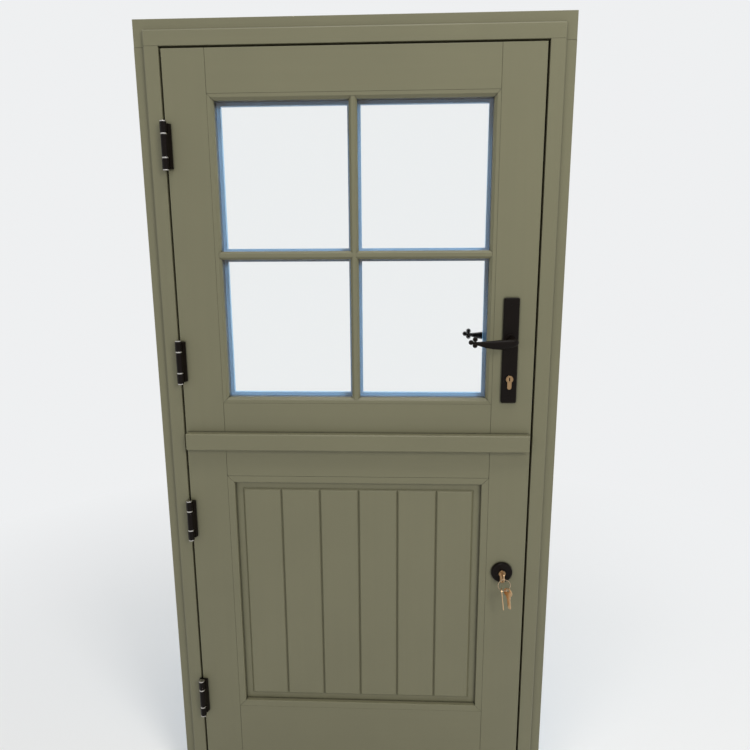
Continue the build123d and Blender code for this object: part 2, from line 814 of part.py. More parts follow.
with BuildPart() as raised_panel:
    panel_half = aperture_half - setting_gap
    border_front = room_face + panel_recess
    block(-panel_half, panel_half, border_front, lip_front,
          panel_low + setting_gap, panel_high - setting_gap)
    field_half = aperture_half - field_inset
    field_low = panel_low + field_inset
    field_high = panel_high - field_inset
    raised_field(border_front - field_rise, border_front, 1, field_half, field_low, field_high)
    raised_field(lip_front + field_rise, lip_front, -1, field_half, field_low, field_high)
    boards = ceil(2 * field_half / board_width)
    for joint in range(1, boards):
        x = -field_half + joint * board_width
        for face, into in ((border_front - field_rise, 1), (lip_front + field_rise, -1)):
            with BuildSketch(Plane.XY.offset(field_low - field_bevel)):
                with BuildLine():
                    Polyline((x - v_joint_width / 2, face), (x + v_joint_width / 2, face),
                             (x, face + into * v_joint_depth), close=True)
                make_face()
            extrude(amount=field_high - field_low + 2 * field_bevel, mode=Mode.SUBTRACT)
save(raised_panel.part, "raised_panel")

# Strip over the joint between the leaves, fixed to the upper one
with BuildPart() as meeting_strip:
    strip_low = upper_foot - strip_overlap
    strip_half = leaf_half - strip_end_inset
    block(-strip_half, strip_half, room_face - strip_thickness, room_face,
          strip_low, strip_low + strip_height)
    chamfer(meeting_strip.edges().filter_by(Axis.X).group_by(Axis.Y)[0], strip_bevel)
    block(-strip_half, strip_half, room_face - strip_relief, room_face,
          strip_low, upper_foot, Mode.SUBTRACT)
save(meeting_strip.part, "meeting_strip")


# Locks

def lock_hole(x_low, thickness, low, high, clearance):
    """A pocket in a lock case, open through its plate, for a bolt to slide in."""
    block(x_low, leaf_half, leaf_middle - thickness / 2 - clearance,
          leaf_middle + thickness / 2 + clearance, low - clearance, high + clearance,
          Mode.SUBTRACT)


def cylinder_hole(z):
    """The cylinder's way through a lock case, with room for its cam to go round."""
    with BuildSketch(facing_plane(0, leaf_middle + case_thickness / 2, 0)) as outline:
        cylinder_outline(handle_x, z, bolt_clearance)
    extrude(outline.sketch, amount=case_thickness, mode=Mode.SUBTRACT)
    with BuildSketch(facing_plane(0, leaf_middle + cam_gap / 2, 0)) as sweep_room:
        with Locations((handle_x, z)):
            Circle(cam_reach + cam_clearance)
    extrude(sweep_room.sketch, amount=cam_gap, mode=Mode.SUBTRACT)


def deadbolt_hole(z):
    lock_hole(leaf_half - deadbolt_length - bolt_clearance, deadbolt_thickness,
              z - deadbolt_height / 2, z + deadbolt_height / 2, bolt_clearance)


hook_pivot_x = leaf_half - hook_pivot_inset
case_front = leaf_half - lock_plate_thickness

with BuildPart() as upper_lock_case:
    block(leaf_half - case_depth, case_front, leaf_middle - case_thickness / 2,
          leaf_middle + case_thickness / 2, case_low, case_high)
    cylinder_hole(cylinder_z)
    with BuildSketch(facing_plane(0, leaf_middle + case_thickness / 2, 0)):
        with Locations((handle_x, spindle_z)):
            Circle(spindle_size)
    extrude(amount=case_thickness, mode=Mode.SUBTRACT)
    lock_hole(leaf_half - latch_length - latch_stroke - 2 * bolt_clearance, latch_thickness,
              latch_z - latch_height / 2, latch_z + latch_height / 2, bolt_clearance)
    deadbolt_hole(upper_deadbolt_z)
    block(leaf_half - hook_case_depth, case_front, leaf_middle - case_thickness / 2,
          leaf_middle + case_thickness / 2, hook_case_low, hook_case_high)
    block(leaf_half - hook_case_depth + lock_plate_thickness, case_front,
          leaf_middle - hook_thickness / 2 - bolt_clearance,
          leaf_middle + hook_thickness / 2 + bolt_clearance,
          hook_z - hook_slot_below, hook_z + hook_slot_above, Mode.SUBTRACT)
    with BuildSketch(facing_plane(hook_pivot_x, leaf_middle + case_thickness / 2, hook_z)):
        Circle(hook_pivot_radius)
    extrude(amount=case_thickness)
save(upper_lock_case.part, "upper_lock_case")

with BuildPart() as upper_lock_plate:
    block(case_front, leaf_half, leaf_middle - lock_plate_width / 2,
          leaf_middle + lock_plate_width / 2, lock_strip_low, lock_strip_high)
    lock_hole(case_front, latch_thickness,
              latch_z - latch_height / 2, latch_z + latch_height / 2, bolt_clearance)
    deadbolt_hole(upper_deadbolt_z)
    lock_hole(case_front, hook_thickness, hook_z - hook_slot_below,
              hook_z + hook_slot_above, bolt_clearance)
save(upper_lock_plate.part, "upper_lock_plate")

with BuildPart() as lower_lock_case:
    block(leaf_half - case_depth, case_front, leaf_middle - case_thickness / 2,
          leaf_middle + case_thickness / 2, lower_case_low, lower_case_high)
    block(case_front, leaf_half, leaf_middle - lock_plate_width / 2,
          leaf_middle + lock_plate_width / 2, lower_strip_low, lower_strip_high)
    cylinder_hole(lower_cylinder_z)
    deadbolt_hole(lower_deadbolt_z)
save(lower_lock_case.part, "lower_lock_case")


def deadbolt(z):
    """A square-ended bolt, stored drawn in, flush with the lock's plate."""
    with BuildPart() as bolt:
        block(leaf_half - deadbolt_length, leaf_half, leaf_middle - deadbolt_thickness / 2,
              leaf_middle + deadbolt_thickness / 2,
              z - deadbolt_height / 2, z + deadbolt_height / 2)
        fillet(bolt.edges().filter_by(Axis.Y).group_by(Axis.X)[-1], arris_round)
    return bolt.part


save(deadbolt(upper_deadbolt_z), "upper_deadbolt")
save(deadbolt(lower_deadbolt_z), "lower_deadbolt")

with BuildPart() as latch_bolt:
    with BuildSketch(Plane.XY.offset(latch_z - latch_height / 2)):
        with BuildLine():
            half = latch_thickness / 2
            Polyline((leaf_half - latch_length, leaf_middle - half),
                     (leaf_half - 2, leaf_middle - half), (leaf_half, leaf_middle - half + 2),
                     (leaf_half - latch_stroke + 2, leaf_middle + half),
                     (leaf_half - latch_length, leaf_middle + half), close=True)
        make_face()
    extrude(amount=latch_height)
save(latch_bolt.part, "latch_bolt")

with BuildPart() as hook_bolt:
    with BuildSketch(facing_plane(hook_pivot_x, leaf_middle + hook_thickness / 2, hook_z)):
        Circle(hook_width / 2)
        with Locations((0, -hook_reach / 2 + hook_width / 8)):
            Rectangle(hook_width, hook_reach - hook_width / 4)
        with Locations(((hook_width / 2 + hook_nose) / 2, -hook_reach + hook_width / 4)):
            Rectangle(hook_width / 2 + hook_nose, hook_width / 2)
        Circle(hook_pivot_radius + pin_clearance, mode=Mode.SUBTRACT)
    extrude(amount=hook_thickness)
save(hook_bolt.part, "hook_bolt")


def cylinder_body(z, front_plate):
    """The lock cylinder: its shell, and the plug of the outer side."""
    front = room_face - front_plate - cylinder_proud
    back = leaf_back + front_plate + cylinder_proud
    length = back - front
    with BuildPart() as shell:
        with BuildSketch(facing_plane(0, back, 0)):
            cylinder_outline(handle_x, z)
        extrude(amount=length)
        with BuildSketch(facing_plane(handle_x, back, z)):
            Circle(plug_radius + plug_clearance)
        extrude(amount=length, mode=Mode.SUBTRACT)
        block(handle_x - cylinder_head_radius, handle_x + cylinder_head_radius,
              leaf_middle - cam_gap / 2, leaf_middle + cam_gap / 2,
              z - cam_reach - cam_clearance / 2, z + cylinder_head_radius, Mode.SUBTRACT)
    return shell.part


def cylinder_plug(z, front_plate):
    """The turning plug of the room side, with its keyway and the cam that throws the bolt."""
    front = room_face - front_plate - cylinder_proud - plug_proud
    with BuildPart() as plug:
        with BuildSketch(facing_plane(handle_x, leaf_middle + cam_width / 2, z)):
            Circle(plug_radius)
        extrude(amount=leaf_middle + cam_width / 2 - front)
        with BuildSketch(facing_plane(handle_x, leaf_middle + cam_width / 2, z)):
            with Locations((0, -cam_reach / 2)):
                Rectangle(cam_width - 1, cam_reach)
            Circle(cam_reach, mode=Mode.INTERSECT)
        extrude(amount=cam_width)
        block(handle_x - keyway_width / 2, handle_x + keyway_width / 2,
              front, front + keyway_depth, z - keyway_height / 2, z + keyway_height / 2,
              Mode.SUBTRACT)
    return plug.part


def outer_plug(z, front_plate):
    """The plug of the outer side."""
    back = leaf_back + front_plate + cylinder_proud + plug_proud
    with BuildPart() as plug:
        with BuildSketch(facing_plane(handle_x, back, z)):
            Circle(plug_radius)
        extrude(amount=back - leaf_middle - cam_gap / 2)
        block(handle_x - keyway_width / 2, handle_x + keyway_width / 2,
              back - keyway_depth, back, z - keyway_height / 2, z + keyway_height / 2,
              Mode.SUBTRACT)
    return plug.part


for name, z, front_plate in (("upper", cylinder_z, plate_thickness),
                             ("lower", lower_cylinder_z, escutcheon_thickness)):
    save(cylinder_body(z, front_plate), f"{name}_cylinder_body")
    save(cylinder_plug(z, front_plate), f"{name}_cylinder_plug")
    save(outer_plug(z, front_plate), f"{name}_cylinder_outer_plug")


# Lever furniture of the upper leaf

def countersink(z, outwards):
    """A countersunk screw hole through a handle plate."""
    face = room_face if outwards > 0 else leaf_back
    front = face - outwards * plate_thickness
    with BuildSketch(facing_plane(handle_x, face, z, outwards)) as shank:
        Circle(screw_shank_radius)
    extrude(shank.sketch, amount=plate_thickness, mode=Mode.SUBTRACT)
    narrow_y = front + outwards * screw_head_height
    with BuildSketch(facing_plane(handle_x, narrow_y, z, outwards)) as narrow:
        Circle(screw_shank_radius)
    with BuildSketch(facing_plane(handle_x, front, z, outwards)) as wide:
        Circle(screw_head_radius)
    loft([narrow.sketch, wide.sketch], mode=Mode.SUBTRACT)


def handle_plate(outwards):
    """A long backplate with a raised collar for the lever, outwards from the room or back."""
    face = room_face if outwards > 0 else leaf_back
    with BuildPart() as plate:
        with BuildSketch(facing_plane(handle_x, face, spindle_z - plate_drop, outwards)):
            RectangleRounded(plate_width, plate_length, plate_corner)
        extrude(amount=plate_thickness)
        front_edges = plate.faces().sort_by(Axis.Y)[0 if outwards > 0 else -1].edges()
        chamfer(front_edges, plate_edge)
        with BuildSketch(facing_plane(handle_x, face, spindle_z, outwards)):
            Circle(collar_radius)
        extrude(amount=plate_thickness + collar_height, taper=0)
        with BuildSketch(facing_plane(handle_x, face, spindle_z, outwards)):
            Circle(neck_radius + neck_clearance)
        extrude(amount=plate_thickness + collar_height, mode=Mode.SUBTRACT)
        with BuildSketch(facing_plane(0, face, 0, outwards)):
            cylinder_outline(outwards * handle_x, cylinder_z, bolt_clearance)
        extrude(amount=plate_thickness, mode=Mode.SUBTRACT)
        for z in screw_places():
            countersink(z, outwards)
    return plate.part


save(handle_plate(1), "inner_handle_plate")
save(handle_plate(-1), "outer_handle_plate")

# Stations along the lever, from behind the neck to the root of its tip: distance as a share
# of its length, half height, half thickness, bend back to the door and rise above the spindle
lever_stations = [
    (-0.100, 3.0, 2.5, 1.5, 0.4),
    (-0.065, 7.0, 5.6, 0.8, 0.2),
    (0.000, 9.2, 7.4, 0.0, -0.6),
    (0.130, 10.6, 7.6, -0.6, -2.6),
    (0.280, 11.1, 7.2, -0.4, -4.2),
    (0.470, 9.7, 6.0, 0.8, -4.6),
    (0.640, 7.3, 4.6, 2.4, -4.0),
    (0.790, 4.4, 3.3, 3.6, -2.4),
    (0.880, 2.9, 2.7, 4.2, -1.0),
    (0.950, 2.7, 2.6, 4.4, 0.4),
]


def lever_handle():
    """The room-side lever: a neck, a leaf-shaped grip and a three-ball tip."""
    centre_y = room_face - lever_projection
    with BuildPart() as lever:
        for share, half_height, half_thickness, back, rise in lever_stations:
            station = Plane(origin=(handle_x - share * lever_length, centre_y + back,
                                    spindle_z + rise), x_dir=(0, 1, 0), z_dir=(-1, 0, 0))
            with BuildSketch(station):
                Ellipse(half_thickness, half_height)
        loft(ruled=True)
        neck_start = room_face - neck_inset
        with BuildSketch(facing_plane(handle_x, neck_start, spindle_z)):
            Circle(neck_radius)
        with BuildSketch(facing_plane(handle_x, centre_y, spindle_z)):
            Circle(neck_end_radius)
        loft()
        tip_back, tip_rise = lever_stations[-1][3:]
        tip_x = handle_x - lever_length + lever_ball_radius
        tip_y = centre_y + tip_back
        tip_z = spindle_z + tip_rise
        balls = [
            Location((tip_x, tip_y, tip_z), (90, 0, 180)),
            Location((tip_x + lever_ball_setback, tip_y, tip_z + lever_ball_spread),
                     (90, 0, 60)),
            Location((tip_x + lever_ball_setback, tip_y, tip_z - lever_ball_spread),
                     (90, 0, -60)),
        ]
        with Locations(*balls):
            Sphere(lever_ball_radius)
        half = spindle_size / 2
        block(handle_x - half, handle_x + half, room_face - spindle_end, neck_start,
              spindle_z - half, spindle_z + half, Mode.SUBTRACT)
    return lever.part


inner_lever = lever_handle()
save(inner_lever, "inner_lever")
save(mirror(inner_lever, about=Plane.XZ.offset(-leaf_middle)), "outer_lever")

with BuildPart() as spindle:
    half = spindle_size / 2
    block(handle_x - half, handle_x + half, room_face - spindle_end,
          leaf_back + spindle_end, spindle_z - half, spindle_z + half)
save(spindle.part, "lever_spindle")


# Lower escutcheons, keys and key ring

def escutcheon(outwards):
    """A round rose with a softened rim round the lower cylinder."""
    face = room_face if outwards > 0 else leaf_back
    with BuildPart() as rose:
        profile_plane = Plane(origin=(handle_x, face, lower_cylinder_z),
                              x_dir=(1, 0, 0), z_dir=(0, 0, outwards))
        with BuildSketch(profile_plane):
            with BuildLine():
                Polyline((0, 0), (escutcheon_radius, 0), *[
                    (escutcheon_radius - rim_width * (1 - cos(radians(turn))),
                     -escutcheon_thickness + rim_height * (1 - sin(radians(turn))))
                    for turn in rim_turns
                ], (0, -escutcheon_thickness), close=True)
            make_face()
        revolve(axis=Axis((handle_x, face, lower_cylinder_z), (0, 1, 0)), revolution_arc=360)
        with BuildSketch(facing_plane(0, face, 0, outwards)):
            cylinder_outline(outwards * handle_x, lower_cylinder_z, bolt_clearance)
        extrude(amount=escutcheon_thickness, mode=Mode.SUBTRACT)
    return rose.part


save(escutcheon(1), "inner_escutcheon")
save(escutcheon(-1), "outer_escutcheon")


def key(blade_plane):
    """A flat cylinder key. Its plane has the blade's run as x and the bow's middle at zero."""
    with BuildPart() as blank:
        with BuildSketch(blade_plane):
            Circle(key_bow_radius)
            with Locations((key_bow_radius, 0)):
                Rectangle(2 * (key_bow_reach - key_bow_radius), key_blade_height + key_shoulder)
            with Locations((key_bow_reach + key_blade_length / 2, 0)):
                Rectangle(key_blade_length, key_blade_height)
            with Locations((-key_hole_shift, 0)):
                Circle(key_hole_radius, mode=Mode.SUBTRACT)
        extrude(amount=key_thickness / 2, both=True)
        tip = blank.edges().sort_by_distance(
            blade_plane.from_local_coords((key_bow_reach + key_blade_length,
                                           key_blade_height / 2, 0)))[0]
        chamfer(tip, key_blade_height / 3)
    return blank.part


plug_front = room_face - escutcheon_thickness - cylinder_proud - plug_proud
bow_y = plug_front - key_bow_reach
door_key = key(Plane(origin=(handle_x, bow_y, lower_cylinder_z),
                     x_dir=(0, 1, 0), z_dir=(1, 0, 0)))
save(door_key, "door_key")

ring_hole_y = bow_y - key_hole_shift
ring_top = lower_cylinder_z - key_hole_radius + ring_wire + ring_lift
ring_z = ring_top - ring_radius
with BuildPart() as key_ring:
    with BuildSketch(Plane(origin=(handle_x + ring_radius, ring_hole_y, ring_z),
                           x_dir=(1, 0, 0), z_dir=(0, 0, 1))):
        RegularPolygon(ring_wire, ring_wire_sides)
    revolve(axis=Axis((handle_x, ring_hole_y, ring_z), (0, 1, 0)), revolution_arc=360)
bunch_axis = Axis((handle_x, ring_hole_y, ring_top), (0, 1, 0))
save(key_ring.part.rotate(bunch_axis, -bunch_lean), "key_ring")


def spare_key(side, turn_degrees):
    """A spare key that hangs by its bow from one side of the ring, turned on it."""
    spread = radians(side * spare_key_spread)
    turn = radians(turn_degrees)
    wire_x = handle_x + ring_radius * sin(spread)
    wire_z = ring_z - ring_radius * cos(spread)
    return key(Plane(origin=(wire_x, ring_hole_y, wire_z - spare_key_hang - key_hole_shift),
                     x_dir=(0, 0, -1), z_dir=(cos(turn), sin(turn), 0)))


with BuildPart() as spare_keys:
    add(spare_key(-1, first_key_turn))
    add(spare_key(1, second_key_turn))
save(spare_keys.part.rotate(bunch_axis, -bunch_lean), "spare_keys")


# Screws

def screw(plane):
    """A countersunk wood screw, its head flush with the plane and its shank going back."""
    with BuildPart() as body:
        with BuildSketch(plane):
            Circle(screw_head_radius)
        with BuildSketch(plane.offset(-screw_head_height)):
            Circle(screw_shank_radius)
        loft()
        with BuildSketch(plane.offset(-screw_length)):
            Circle(screw_shank_radius)
        extrude(amount=screw_length - screw_head_height)
        with BuildSketch(plane.offset(-screw_slot_depth)):
            Rectangle(2 * screw_head_radius, screw_slot_width)
        extrude(amount=screw_slot_depth, mode=Mode.SUBTRACT)
    return body.part


with BuildPart() as handle_screws:
    for z in screw_places():
        for outwards in (1, -1):
            face = room_face if outwards > 0 else leaf_back
            add(screw(facing_plane(handle_x, face - outwards * plate_thickness, z, outwards)))
save(handle_screws.part, "handle_screws")
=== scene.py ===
import json
import math

import bmesh
import bpy
from mathutils import Matrix, Vector


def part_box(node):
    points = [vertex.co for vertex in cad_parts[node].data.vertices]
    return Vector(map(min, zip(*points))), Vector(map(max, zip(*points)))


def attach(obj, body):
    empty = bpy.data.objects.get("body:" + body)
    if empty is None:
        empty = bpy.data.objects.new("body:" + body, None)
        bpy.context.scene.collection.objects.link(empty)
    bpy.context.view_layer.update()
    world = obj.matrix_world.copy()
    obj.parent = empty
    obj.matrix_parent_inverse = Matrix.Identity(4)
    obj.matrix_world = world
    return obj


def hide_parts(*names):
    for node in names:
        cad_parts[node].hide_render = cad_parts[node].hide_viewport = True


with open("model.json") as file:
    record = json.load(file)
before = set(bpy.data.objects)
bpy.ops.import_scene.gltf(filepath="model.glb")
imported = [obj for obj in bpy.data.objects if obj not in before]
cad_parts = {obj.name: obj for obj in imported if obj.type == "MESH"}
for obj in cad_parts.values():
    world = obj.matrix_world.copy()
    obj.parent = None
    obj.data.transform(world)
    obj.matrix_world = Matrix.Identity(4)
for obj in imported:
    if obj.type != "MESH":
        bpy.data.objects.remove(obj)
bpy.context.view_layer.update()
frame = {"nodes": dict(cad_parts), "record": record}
scene = bpy.context.scene


# The view: a wide lens at eye height, 1.45 m in front of the leaves, a little right of
# the door's middle and tipped down. The turns are given one after the other, so that each
# can be set on its own.
lens_px = 627.0
picture_px = 750.0
sensor_mm = 36.0
nearest_seen = 0.01
view_x, view_y, view_z = 0.108, -1.4995, 1.456
tip_down, swing, tilt = math.radians(11.61), math.radians(2.46), math.radians(-0.32)

camera = bpy.data.objects.new("camera", bpy.data.cameras.new("camera"))
scene.collection.objects.link(camera)
camera.data.sensor_width = sensor_mm
camera.data.lens = lens_px * sensor_mm / picture_px
camera.data.clip_start = nearest_seen
turn_about_up = Matrix(((math.cos(swing), math.sin(swing), 0),
                        (-math.sin(swing), math.cos(swing), 0),
                        (0, 0, 1)))
look_level = Matrix(((1, 0, 0), (0, 0, -1), (0, 1, 0)))
tip_forward = Matrix(((1, 0, 0),
                      (0, math.cos(tip_down), -math.sin(tip_down)),
                      (0, math.sin(tip_down), math.cos(tip_down))))
roll_over = Matrix(((math.cos(tilt), -math.sin(tilt), 0),
                    (math.sin(tilt), math.cos(tilt), 0),
                    (0, 0, 1)))
seen = roll_over @ tip_forward @ look_level @ turn_about_up
placing = Matrix.Identity(4)
for row in range(3):
    placing[row][0] = seen[0][row]
    placing[row][1] = -seen[1][row]
    placing[row][2] = -seen[2][row]
placing.translation = Vector((view_x, view_y, view_z))
camera.matrix_world = placing
scene.camera = camera
scene.view_settings.view_transform = "Standard"


# Timber of the frame: rebated jambs and head with a stepped face, in satin paint, sage
# on the room side and pale blue outside. It is brushed on along each piece's grain, so
# fine marks run up the jambs and along the head. Every corner is eased by hand.
sage = (0.160, 0.153, 0.091)
sky_blue = (0.31, 0.56, 0.81)
primer = (0.46, 0.44, 0.40)
tone_swing = 0.12
frame_back, frame_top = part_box("frame_head")[1][1:]
frame_half_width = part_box("frame_head")[1][0]
primer_skin = 0.0012
primer_start = -0.018
primer_short_of_back = 0.010
primed_sides = (frame_half_width - primer_skin, frame_top - primer_skin, primer_start,
                frame_back - primer_short_of_back)
# Painted shade in creases: the reach and rays of an ambient occlusion test, and the range
# over which it darkens the paint's colour.
crease_shade_reach = 0.005
crease_shade_rays = 6
crease_shade_closed, crease_shade_open, crease_shade_darkest = 0.35, 0.92, 0.08
paint_roughness = 0.42
paint_roughness_swing = 0.16
paint_relief = 0.25
paint_relief_deep = 0.0004
drift_scale = 3.5
drift_share = 0.7
ridge_share = 0.45
stroke_to_ridge = 0.16
fine_noise = {"Detail": 3.0, "Roughness": 0.6}
broad_noise = {"Detail": 2.0, "Roughness": 0.5}
drift_noise = {"Detail": 3.0, "Roughness": 0.55}
frame_ease = 0.0009
marks_across = 420.0
marks_along = 9.0
marks_up = (marks_across, marks_across, marks_along)
marks_level = (marks_along, marks_across, marks_across)
no_edge = 10.0
merge_within = 0.000002
flat_within = math.radians(0.6)
corner_from = math.radians(35.0)
broad_face_weight = 100


def body_of(node):
    """The body that carries a solid."""
    bodies = frame["record"]["behaviour"]["bodies"]
    return next(body for body, nodes in bodies.items() if node in nodes)


def eased(node, width, segments=2):
    """A copy of a solid that stands for it, with its corners softened over width."""
    mesh = bpy.data.meshes.new(node + "_eased")
    shape = bmesh.new()
    shape.from_mesh(frame["nodes"][node].data)
    bmesh.ops.remove_doubles(shape, verts=shape.verts, dist=merge_within)
    bmesh.ops.dissolve_limit(shape, angle_limit=flat_within, verts=shape.verts,
                             edges=shape.edges)
    shape.to_mesh(mesh)
    shape.free()
    piece = bpy.data.objects.new(node + "_eased", mesh)
    scene.collection.objects.link(piece)
    if width:
        bevel = piece.modifiers.new("ease", "BEVEL")
        bevel.width = width
        bevel.segments = segments
        bevel.limit_method = "ANGLE"
        bevel.angle_limit = corner_from
        bevel.use_clamp_overlap = True
        flat = piece.modifiers.new("flat", "WEIGHTED_NORMAL")
        flat.weight = broad_face_weight
        flat.keep_sharp = True
    for face in mesh.polygons:
        face.use_smooth = True
    mesh.set_sharp_from_angle(angle=corner_from)
    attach(piece, body_of(node))
    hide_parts(node)
    return piece


def group(name, inputs, outputs):
    """A shader node group with named sockets, its input and its output node."""
    tree = bpy.data.node_groups.new(name, "ShaderNodeTree")
    for label, kind, value in inputs:
        socket = tree.interface.new_socket(label, in_out="INPUT", socket_type=kind)
        if value is not None:
            socket.default_value = value
    for label, kind in outputs:
        tree.interface.new_socket(label, in_out="OUTPUT", socket_type=kind)
    return tree, tree.nodes.new("NodeGroupInput"), tree.nodes.new("NodeGroupOutput")


def node(tree, kind, **values):
    """A new node with its properties set, and its sockets by name."""
    made = tree.nodes.new(kind)
    for key, value in values.items():
        if hasattr(made, key):
            setattr(made, key, value)
        else:
            made.inputs[key.replace("_", " ")].default_value = value
    return made


def calc(tree, operation, first, second):
    """first and second, sockets or numbers, put together by a Math node."""
    made = tree.nodes.new("ShaderNodeMath")
    made.operation = operation
    for place, value in enumerate((first, second)):
        if hasattr(value, "is_output"):
            tree.links.new(value, made.inputs[place])
        else:
            made.inputs[place].default_value = value
    return made.outputs[0]


def brush_marks():
    """Fine ridges along the brush's way, with a slow drift of tone under them."""
    tree, given, out = group("brush_marks", [
        ("Vector", "NodeSocketVector", None),
        ("Scale", "NodeSocketVector", marks_up),
        ("Drift", "NodeSocketFloat", drift_scale),
    ], [("Height", "NodeSocketFloat"), ("Tone", "NodeSocketFloat")])
    stretch = tree.nodes.new("ShaderNodeVectorMath")
    stretch.operation = "MULTIPLY"
    tree.links.new(given.outputs["Vector"], stretch.inputs[0])
    tree.links.new(given.outputs["Scale"], stretch.inputs[1])
    ridges = node(tree, "ShaderNodeTexNoise", Scale=1.0, **fine_noise)
    tree.links.new(stretch.outputs[0], ridges.inputs["Vector"])
    strokes = node(tree, "ShaderNodeTexNoise", Scale=stroke_to_ridge, **broad_noise)
    tree.links.new(stretch.outputs[0], strokes.inputs["Vector"])
    drift = node(tree, "ShaderNodeTexNoise", **drift_noise)
    tree.links.new(given.outputs["Vector"], drift.inputs["Vector"])
    tree.links.new(given.outputs["Drift"], drift.inputs["Scale"])
    fine = calc(tree, "MULTIPLY", ridges.outputs["Fac"], ridge_share)
    broad = calc(tree, "MULTIPLY", strokes.outputs["Fac"], 1 - ridge_share)
    tree.links.new(calc(tree, "ADD", fine, broad), out.inputs["Height"])
    slow = calc(tree, "MULTIPLY", drift.outputs["Fac"], drift_share)
    quick = calc(tree, "MULTIPLY", strokes.outputs["Fac"], 1 - drift_share)
    tree.links.new(calc(tree, "ADD", slow, quick), out.inputs["Tone"])
    return tree


def two_colour_paint():
    """Sage on the room side and blue past a place on Y. The frame's outer edges are only
    primed, and painted shade darkens the room side's colour in its creases and joints,
    where an ambient occlusion node finds them closed in."""
    tree, given, out = group("two_colour_paint", [
        ("Position", "NodeSocketVector", None),
        ("Tone", "NodeSocketFloat", None),
        ("Outside From", "NodeSocketFloat", None),
        ("Primed Half", "NodeSocketFloat", no_edge),
        ("Primed Top", "NodeSocketFloat", no_edge),
        ("Primed Start", "NodeSocketFloat", None),
        ("Primed End", "NodeSocketFloat", None),
    ], [("Color", "NodeSocketColor")])
    place = tree.nodes.new("ShaderNodeSeparateXYZ")
    tree.links.new(given.outputs["Position"], place.inputs[0])
    across, deep, up = (place.outputs[way] for way in "XYZ")
    behind = calc(tree, "GREATER_THAN", deep, given.outputs["Outside From"])
    tones = []
    for colour in (sage, sky_blue):
        tone = node(tree, "ShaderNodeMix", data_type="RGBA")
        tone.inputs["A"].default_value = (*[c * (1 - tone_swing) for c in colour], 1)
        tone.inputs["B"].default_value = (*[c * (1 + tone_swing) for c in colour], 1)
        tree.links.new(given.outputs["Tone"], tone.inputs["Factor"])
        tones.append(tone.outputs["Result"])
    side = node(tree, "ShaderNodeMix", data_type="RGBA")
    tree.links.new(behind, side.inputs["Factor"])
    tree.links.new(tones[0], side.inputs["A"])
    tree.links.new(tones[1], side.inputs["B"])
    beyond = calc(tree, "GREATER_THAN", calc(tree, "ABSOLUTE", across, 0.0),
                  given.outputs["Primed Half"])
    above = calc(tree, "GREATER_THAN", up, given.outputs["Primed Top"])
    started = calc(tree, "GREATER_THAN", deep, given.outputs["Primed Start"])
    within = calc(tree, "MULTIPLY", started,
                  calc(tree, "LESS_THAN", deep, given.outputs["Primed End"]))
    bare = node(tree, "ShaderNodeMix", data_type="RGBA")
    bare.inputs["B"].default_value = (*primer, 1)
    tree.links.new(calc(tree, "MULTIPLY", calc(tree, "MAXIMUM", beyond, above), within),
                   bare.inputs["Factor"])
    tree.links.new(side.outputs["Result"], bare.inputs["A"])
    # Painted shade: the colour is darkened in creases and joints by ambient occlusion, not
    # by the lamps. The outer side is left unshaded.
    creases = node(tree, "ShaderNodeAmbientOcclusion", Distance=crease_shade_reach)
    creases.samples = crease_shade_rays
    shade = node(tree, "ShaderNodeMapRange", From_Min=crease_shade_closed, From_Max=crease_shade_open,
                 To_Min=crease_shade_darkest, To_Max=1.0)
    tree.links.new(creases.outputs["AO"], shade.inputs["Value"])
    crease_shaded_colour = tree.nodes.new("ShaderNodeVectorMath")
    crease_shaded_colour.operation = "SCALE"
    tree.links.new(bare.outputs["Result"], crease_shaded_colour.inputs[0])
    tree.links.new(calc(tree, "MAXIMUM", shade.outputs["Result"], behind),
                   crease_shaded_colour.inputs["Scale"])
    tree.links.new(crease_shaded_colour.outputs[0], out.inputs["Color"])
    return tree


marks = brush_marks()
paint_colours = two_colour_paint()


def material(name):
    """A material with its tree, its shader and the place on the piece."""
    made = bpy.data.materials.new(name)
    made.use_nodes = True
    tree = made.node_tree
    tree.nodes.clear()
    shader = tree.nodes.new("ShaderNodeBsdfPrincipled")
    out = tree.nodes.new("ShaderNodeOutputMaterial")
    tree.links.new(shader.outputs["BSDF"], out.inputs["Surface"])
    where = tree.nodes.new("ShaderNodeTexCoord")
    return made, tree, shader, where.outputs["Object"]


def surface(tree):
    """Where a material's last shader goes in."""
    return tree.get_output_node("ALL").inputs["Surface"]


def satin_paint(name, across, outside_from, primed=None):
    """Brushed paint. across is the marks' scale on X, Y and Z; past outside_from on Y the
    outer colour starts. primed gives the half width and the top past which bare primer
    shows, and its span on Y."""
    made, tree, shader, place = material(name)
    strokes = tree.nodes.new("ShaderNodeGroup")
    strokes.node_tree = marks
    strokes.inputs["Scale"].default_value = across
    strokes.inputs["Drift"].default_value = drift_scale
    tree.links.new(place, strokes.inputs["Vector"])
    colours = tree.nodes.new("ShaderNodeGroup")
    colours.node_tree = paint_colours
    colours.inputs["Outside From"].default_value = outside_from
    if primed:
        for label, value in zip(("Half", "Top", "Start", "End"), primed):
            colours.inputs["Primed " + label].default_value = value
    tree.links.new(place, colours.inputs["Position"])
    tree.links.new(strokes.outputs["Tone"], colours.inputs["Tone"])
    tree.links.new(colours.outputs["Color"], shader.inputs["Base Color"])
    swung = calc(tree, "MULTIPLY", strokes.outputs["Height"], paint_roughness_swing)
    tree.links.new(calc(tree, "ADD", swung, paint_roughness), shader.inputs["Roughness"])
    relief = node(tree, "ShaderNodeBump", Strength=paint_relief, Distance=paint_relief_deep)
    tree.links.new(strokes.outputs["Height"], relief.inputs["Height"])
    tree.links.new(relief.outputs["Normal"], shader.inputs["Normal"])
    return made


